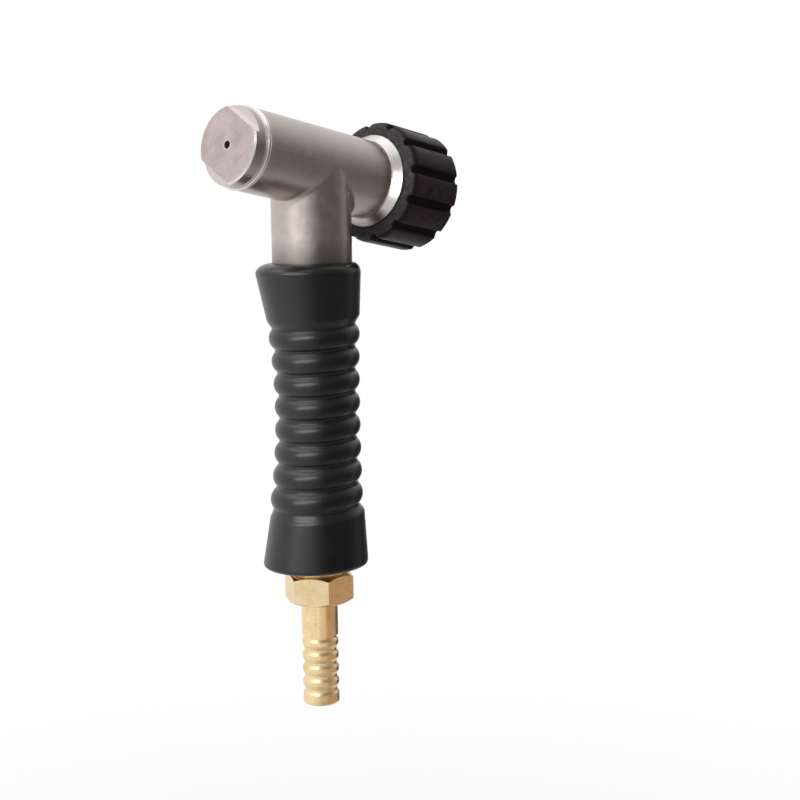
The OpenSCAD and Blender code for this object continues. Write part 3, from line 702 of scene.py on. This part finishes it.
# Millimetres and degrees; the ribs' names are those of their tree's inputs
gripShape = {"foot": 11.3, "footTilt": 2.5, "top": 107.9, "back": 14.5, "heel": 1.0, "bottomLip": 16.65,
             "bottomNeck": 15.0, "bottomNeckAt": 29.3, "bottomRound": 1.5, "topLip": 16.4,
             "topNeck": 14.6, "topNeckAt": 91.1, "dome": 3.2, "domeEnd": 12.7, "waist": 13.5,
             "flare": 0.95, "waistShift": 0.09, "neckStep": 0.4, "neckStepLen": 0.8, "tubeRadius": 10.02,
             "boreMargin": 0.5, "stubRadius": 12.52, "stubFoot": 95.9, "around": 144, "ringStep": 0.32,
             "roundSteps": 8, "ribKeys": 4, "domeSteps": 12}
gripRibs = {"Count": 8, "Pitch": 7.2, "First Height": 35.0, "Crown Radius": 4.0, "Rise": 1.4,
            "Lean": 4.0, "Level At": 8.0, "Softness": 0.25}


def gripLean(y, angle):
    return (y - gripRibs["Level At"]) * math.tan(math.radians(angle))


def valleyRadius(z):
    zone = (gripRibs["Count"] - 1) * gripRibs["Pitch"]
    along = 2 * (z - gripRibs["First Height"]) / zone - 1
    return gripShape["waist"] + gripShape["flare"] * (along - gripShape["waistShift"]) ** 2 - gripRibs["Rise"]


# Height of the tilted foot where the lean is nothing; its foremost point is the lowest
def gripFoot():
    return gripShape["foot"] - gripLean(gripShape["back"] + gripShape["heel"] - 2 * gripShape["bottomLip"],
                                        gripShape["footTilt"])


# Outer wall from foot to top: height, radius, bulge behind the back, degrees of lean
def gripKeys():
    s = gripShape
    lean = gripRibs["Lean"]
    keys = []
    for k in range(s["roundSteps"] + 1):
        a = math.radians(90 * (k / s["roundSteps"] - 1))
        keys.append((gripFoot() + s["bottomRound"] * (1 + math.sin(a)),
                     s["bottomLip"] - s["bottomRound"] * (1 - math.cos(a)), s["heel"], s["footTilt"]))
    half = s["neckStepLen"] / 2
    keys.append((s["bottomNeckAt"] - half, s["bottomNeck"], s["heel"] / 2, lean))
    keys.append((s["bottomNeckAt"] + half, s["bottomNeck"] - s["neckStep"],
                 s["heel"] / 2 - s["neckStep"], lean))
    for i in range(gripRibs["Count"] * s["ribKeys"] + 1):
        z = gripRibs["First Height"] + (i / s["ribKeys"] - 0.5) * gripRibs["Pitch"]
        keys.append((z, valleyRadius(z), -gripRibs["Rise"], lean))
    keys.append((s["topNeckAt"] - half, s["topNeck"] - s["neckStep"], -s["neckStep"], lean))
    keys.append((s["topNeckAt"] + half, s["topNeck"], 0, lean))
    for k in range(s["domeSteps"] + 1):
        a = math.radians(90 * k / s["domeSteps"])
        inward = 1 - math.cos(a)
        keys.append((s["top"] - s["dome"] * (1 - math.sin(a)),
                     s["topLip"] - (s["topLip"] - s["domeEnd"]) * inward,
                     (s["domeEnd"] - s["back"]) * inward, 0))
    return keys


def gripRing(z, radius, bulge, angle):
    s = gripShape
    ring = []
    for k in range(s["around"]):
        a = 2 * math.pi * k / s["around"]
        y = s["back"] + bulge - radius + radius * math.sin(a)
        ring.append((radius * math.cos(a) * mm, y * mm, (z + gripLean(y, angle)) * mm))
    return ring


def boreRing(z, radius, angle=0):
    ring = []
    for k in range(gripShape["around"]):
        a = 2 * math.pi * k / gripShape["around"]
        y = radius * math.sin(a)
        ring.append((radius * math.cos(a) * mm, y * mm, (z + gripLean(y, angle)) * mm))
    return ring


def gripBlank():
    s = gripShape
    keys = gripKeys()
    rings = []
    for low, high in zip(keys, keys[1:]):
        steps = max(1, round((high[0] - low[0]) / s["ringStep"]))
        for k in range(steps):
            t = k / steps
            rings.append(gripRing(*[a + (b - a) * t for a, b in zip(low, high)]))
    rings.append(gripRing(*keys[-1]))
    rings += [boreRing(s["top"], s["stubRadius"]), boreRing(s["stubFoot"], s["stubRadius"]),
              boreRing(s["stubFoot"], s["tubeRadius"]), boreRing(gripFoot(), s["tubeRadius"], s["footTilt"])]
    return skin("gripBlank", rings, closed=True)


# A geometry tree whose inputs are a count, the named sizes and a material, with the X, Y and Z of each point
def startPattern(name, sizes):
    tree = bpy.data.node_groups.new(name, "GeometryNodeTree")
    treeInput(tree, "Geometry", "NodeSocketGeometry")
    treeInput(tree, "Count", "NodeSocketInt")
    for size in sizes:
        treeInput(tree, size, floatKind, 0.0)
    treeInput(tree, "Material", "NodeSocketMaterial")
    tree.interface.new_socket(name="Geometry", in_out="OUTPUT", socket_type="NodeSocketGeometry")
    place = addNode(tree, "GeometryNodeInputPosition")
    parts = addNode(tree, "ShaderNodeSeparateXYZ", None, {0: place.outputs[0]})
    return tree, addNode(tree, "NodeGroupInput").outputs, parts.outputs


def finishPattern(tree, get, shaped):
    real = addNode(tree, "GeometryNodeRealizeInstances", None, {"Geometry": shaped.outputs[0]})
    painted = addNode(tree, "GeometryNodeSetMaterial", None,
                      {"Geometry": real.outputs[0], "Material": get["Material"]})
    end = addNode(tree, "NodeGroupOutput")
    tree.links.new(painted.outputs[0], end.inputs[0])
    return tree


# Rounded ribs raised on the outer wall: each point rises with its distance from the nearest rib's middle
def buildRibTree():
    tree, get, (x, y, z) = startPattern("gripRibs", ("Pitch", "First Height", "Crown Radius", "Rise", "Lean",
                                                     "Level At", "Softness", "Wall"))
    lean = doMath(tree, "MULTIPLY", doMath(tree, "SUBTRACT", y, get["Level At"]),
                  doMath(tree, "TANGENT", get["Lean"]))
    level = doMath(tree, "SUBTRACT", doMath(tree, "SUBTRACT", z, lean), get["First Height"])
    last = doMath(tree, "SUBTRACT", get["Count"], 1.0)
    nearest = doMath(tree, "ROUND", doMath(tree, "DIVIDE", level, get["Pitch"]))
    nearest = doMath(tree, "MINIMUM", doMath(tree, "MAXIMUM", nearest, 0.0), last)
    off = doMath(tree, "SUBTRACT", level, doMath(tree, "MULTIPLY", nearest, get["Pitch"]))
    under = doMath(tree, "SUBTRACT", doMath(tree, "MULTIPLY", get["Crown Radius"], get["Crown Radius"]),
                   doMath(tree, "MULTIPLY", off, off))
    arc = doMath(tree, "SQRT", doMath(tree, "MAXIMUM", under, 0.0))
    height = doMath(tree, "SUBTRACT", arc, doMath(tree, "SUBTRACT", get["Crown Radius"], get["Rise"]))
    raised = doMath(tree, "SMOOTH_MAX", height, 0.0, get["Softness"])
    outer = doMath(tree, "GREATER_THAN", reachOf(tree, x, y), get["Wall"])
    normal = addNode(tree, "GeometryNodeInputNormal")
    offset = addNode(tree, "ShaderNodeVectorMath", {"operation": "SCALE"},
                     {0: normal.outputs[0], "Scale": doMath(tree, "MULTIPLY", raised, outer)})
    shaped = addNode(tree, "GeometryNodeSetPosition", None,
                     {"Geometry": get["Geometry"], "Offset": offset.outputs[0]})
    return finishPattern(tree, get, shaped)


def buildGrip():
    blank = gripBlank()
    weld(blank)
    modifier = blank.modifiers.new("ribs", "NODES")
    modifier.node_group = buildRibTree()
    setInput(modifier, "Count", gripRibs["Count"])
    for name in ("Pitch", "First Height", "Crown Radius", "Rise", "Level At", "Softness"):
        setInput(modifier, name, gripRibs[name] * mm)
    setInput(modifier, "Lean", math.radians(gripRibs["Lean"]))
    setInput(modifier, "Wall", (gripShape["tubeRadius"] + gripShape["boreMargin"]) * mm)
    setInput(modifier, "Material", materials["grip_rubber"])
    grip = bakeModifiers(blank, "ribbedGrip")
    grip.data.shade_smooth()
    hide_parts("grip")
    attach(grip, "torch_body")


buildGrip()
print("grip done")


# Millimetres and degrees; the outer share is that of the radius past which the outline is fluted
knobShape = {"station": 27.5, "radius": 19.5, "length": 22.2, "frontTaper": 1.1, "frontTaperLen": 3.0,
             "rearRound": 2.2, "frontRound": 0.5, "faceInset": 1.2, "faceSteps": 6, "dish": 12.0,
             "dishDepth": 1.0, "dishRound": 0.5, "neck": 7.65, "skin": 3.0, "hub": 9.02, "hubEnd": 15.02,
             "around": 432, "outerShare": 0.7}
knobLobes = {"Count": 12, "Phase": 3.5, "Crown Radius": 9.0, "Groove Width": 2.8, "Groove Depth": 2.2,
             "Softness": 0.2}


def arcPoints(cx, cz, radius, start, end, steps):
    turns = [math.radians(start + (end - start) * k / steps) for k in range(steps + 1)]
    return [(cx + radius * math.cos(a), cz + radius * math.sin(a)) for a in turns]


# Half outline of the turned knob, from the bottom of its socket round the outside to the middle of its back
def knobOutline():
    s = knobShape
    faceR = s["radius"] - s["frontTaper"]
    faceLen = faceR - s["faceInset"] - s["neck"]
    dishFloor = s["length"] - s["dishDepth"]
    path = [(0, s["hubEnd"]), (s["hub"], s["hubEnd"]), (s["hub"], s["skin"]), (s["neck"], s["skin"]),
            (s["neck"], 0)]
    path += [(s["neck"] + faceLen * k / s["faceSteps"], 0) for k in range(1, s["faceSteps"] + 1)]
    path += arcPoints(faceR - s["frontRound"], s["frontRound"], s["frontRound"], -90, -20, 6)
    path += [(faceR + s["frontTaper"] * math.sin(math.radians(90 * t)), s["frontTaperLen"] * t)
             for t in (0.25, 0.4, 0.55, 0.7, 0.85, 1.0)]
    path += [(s["radius"], s["frontTaperLen"] + (s["length"] - s["rearRound"] - s["frontTaperLen"]) * t)
             for t in (0.1, 0.25, 0.5, 0.75, 0.9)]
    path += arcPoints(s["radius"] - s["rearRound"], s["length"] - s["rearRound"], s["rearRound"], 0, 90, 12)
    path += [(s["dish"] + (s["radius"] - s["rearRound"] - s["dish"]) * t, s["length"])
             for t in (0.75, 0.5, 0.25)]
    path += arcPoints(s["dish"] + s["dishRound"], s["length"] - s["dishRound"], s["dishRound"], 90, 180, 5)
    path += [(s["dish"] * t, dishFloor) for t in (1.0, 0.8, 0.6, 0.4, 0.2, 0.0)]
    return path


# Pulls the turned outline in to the lobes and their round-bottomed grooves
def buildLobeTree():
    tree, get, (x, y, z) = startPattern("knobLobes", ("Phase", "Knob Radius", "Crown Radius", "Groove Width",
                                                      "Groove Depth", "Softness"))
    reach = reachOf(tree, x, y)
    step = doMath(tree, "DIVIDE", 2 * math.pi, get["Count"])
    half = doMath(tree, "DIVIDE", step, 2.0)
    turn = doMath(tree, "SUBTRACT", doMath(tree, "ARCTAN2", y, x), get["Phase"])
    turn = doMath(tree, "WRAP", turn, half, doMath(tree, "MULTIPLY", half, -1.0))
    fromCrown = doMath(tree, "ABSOLUTE", turn)
    fromGroove = doMath(tree, "SUBTRACT", half, fromCrown)

    # Far side of the crown circle
    middle = doMath(tree, "SUBTRACT", get["Knob Radius"], get["Crown Radius"])
    lift = doMath(tree, "MULTIPLY", middle, doMath(tree, "SINE", fromCrown))
    inside = doMath(tree, "SUBTRACT", doMath(tree, "MULTIPLY", get["Crown Radius"], get["Crown Radius"]),
                    doMath(tree, "MULTIPLY", lift, lift))
    crown = doMath(tree, "ADD", doMath(tree, "MULTIPLY", middle, doMath(tree, "COSINE", fromCrown)),
                   doMath(tree, "SQRT", inside))

    # Near side of the groove circle; beyond its width the wall climbs steeply out of the crown's way
    steepness = 8.0
    grooveHalf = doMath(tree, "DIVIDE", get["Groove Width"], 2.0)
    floor = doMath(tree, "SUBTRACT", get["Knob Radius"], get["Groove Depth"])
    centre = doMath(tree, "ADD", floor, grooveHalf)
    sideways = doMath(tree, "MULTIPLY", centre, doMath(tree, "SINE", fromGroove))
    left = doMath(tree, "SUBTRACT", doMath(tree, "MULTIPLY", grooveHalf, grooveHalf),
                  doMath(tree, "MULTIPLY", sideways, sideways))
    bottom = doMath(tree, "SUBTRACT", doMath(tree, "MULTIPLY", centre, doMath(tree, "COSINE", fromGroove)),
                    doMath(tree, "SQRT", doMath(tree, "MAXIMUM", left, 0.0)))
    beyond = doMath(tree, "SUBTRACT", doMath(tree, "ABSOLUTE", sideways), grooveHalf)
    away = doMath(tree, "MULTIPLY", doMath(tree, "MAXIMUM", beyond, 0.0), steepness)
    groove = doMath(tree, "ADD", bottom, away)

    outline = doMath(tree, "SMOOTH_MIN", crown, groove, get["Softness"])
    outline = doMath(tree, "SMOOTH_MIN", outline, reach, get["Softness"])
    scale = doMath(tree, "DIVIDE", outline, doMath(tree, "MAXIMUM", reach, 1e-6))
    outerFrom = doMath(tree, "MULTIPLY", get["Knob Radius"], knobShape["outerShare"])
    isOuter = doMath(tree, "GREATER_THAN", reach, outerFrom)
    moved = addNode(tree, "ShaderNodeCombineXYZ", None,
                    {0: doMath(tree, "MULTIPLY", x, scale), 1: doMath(tree, "MULTIPLY", y, scale), 2: z})
    shaped = addNode(tree, "GeometryNodeSetPosition", None,
                     {"Geometry": get["Geometry"], "Selection": isOuter, "Position": moved.outputs[0]})
    return finishPattern(tree, get, shaped)


def knobBlank():
    turns = [2 * math.pi * k / knobShape["around"] for k in range(knobShape["around"])]
    rings = [[(radius * math.cos(a) * mm, radius * math.sin(a) * mm, height * mm) for a in turns]
             for radius, height in knobOutline()]
    blank = skin("knobBlank", rings)
    weld(blank)
    return blank


def buildKnob():
    blank = knobBlank()
    modifier = blank.modifiers.new("lobes", "NODES")
    modifier.node_group = buildLobeTree()
    setInput(modifier, "Count", knobLobes["Count"])
    setInput(modifier, "Phase", math.radians(knobLobes["Phase"]))
    setInput(modifier, "Knob Radius", knobShape["radius"] * mm)
    for name in ("Crown Radius", "Groove Width", "Groove Depth", "Softness"):
        setInput(modifier, name, knobLobes[name] * mm)
    setInput(modifier, "Material", materials["knob_plastic"])
    knob = bakeModifiers(blank, "flutedKnob")
    knob.data.transform(barrelFrame @ Matrix.Translation((0, 0, knobShape["station"] * mm)))
    weld(knob)
    knob.data.shade_smooth()
    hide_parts("back_cap_shell")
    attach(knob, "back_cap")


buildKnob()
print("knob done")
